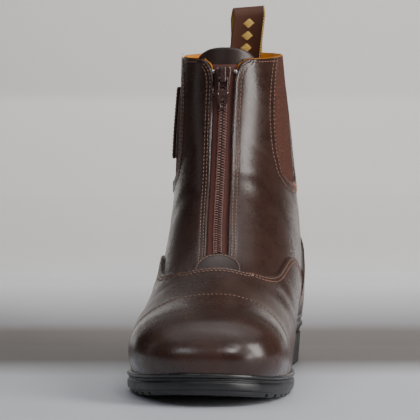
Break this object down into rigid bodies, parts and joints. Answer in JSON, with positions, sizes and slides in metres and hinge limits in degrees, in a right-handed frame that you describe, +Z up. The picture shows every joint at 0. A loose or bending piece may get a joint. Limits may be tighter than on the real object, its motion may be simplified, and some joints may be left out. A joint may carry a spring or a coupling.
{
  "type": "paddock boot",
  "caption": "Brown leather paddock boot, wearer's right, with front zip, elastic side gores, toe cap, pull loop and low-heeled black rubber sole; the zip's pull tab swings",
  "frame": {"origin": "on the floor, under the middle of the sole", "axes": "+Z up, the toe points to -Y, the lateral (outer) side is -X"},
  "size_m": [0.1021, 0.2786, 0.2365],
  "materials": {
    "leather": "polished dark brown, fine grain",
    "overlay_leather": "polished dark brown, fine grain",
    "elastic": "ribbed elastic webbing",
    "tape": "woven zip tape",
    "teeth": "nylon coil",
    "metal": "brown lacquered metal",
    "ribbon": "woven ribbon",
    "rubber": "moulded, satin",
    "board": "tan sock lining"
  },
  "bodies": {
    "root": {"outsole": "rubber", "heel": "rubber", "midsole_welt": "rubber", "insole": "board", "upper": "leather", "gore_lateral": "elastic", "gore_medial": "elastic", "side_tab": "overlay_leather", "toe_cap": "overlay_leather", "vamp": "overlay_leather", "heel_counter": "overlay_leather", "back_strip": "overlay_leather", "zip_end_patch": "leather", "zip_tape": "tape", "zip_coil": "teeth", "tongue": "leather", "zip_slider": "metal", "pull_loop": "ribbon"},
    "pull": {"zip_pull": "metal"}
  },
  "joints": [
    {"name": "zip_pull", "type": "hinge", "parent": "root", "child": "pull", "pos_m": [-0.0032, 0.02003, 0.18833], "axis": [-1, 0, 0], "range_deg": [0, 165]}
  ]
}
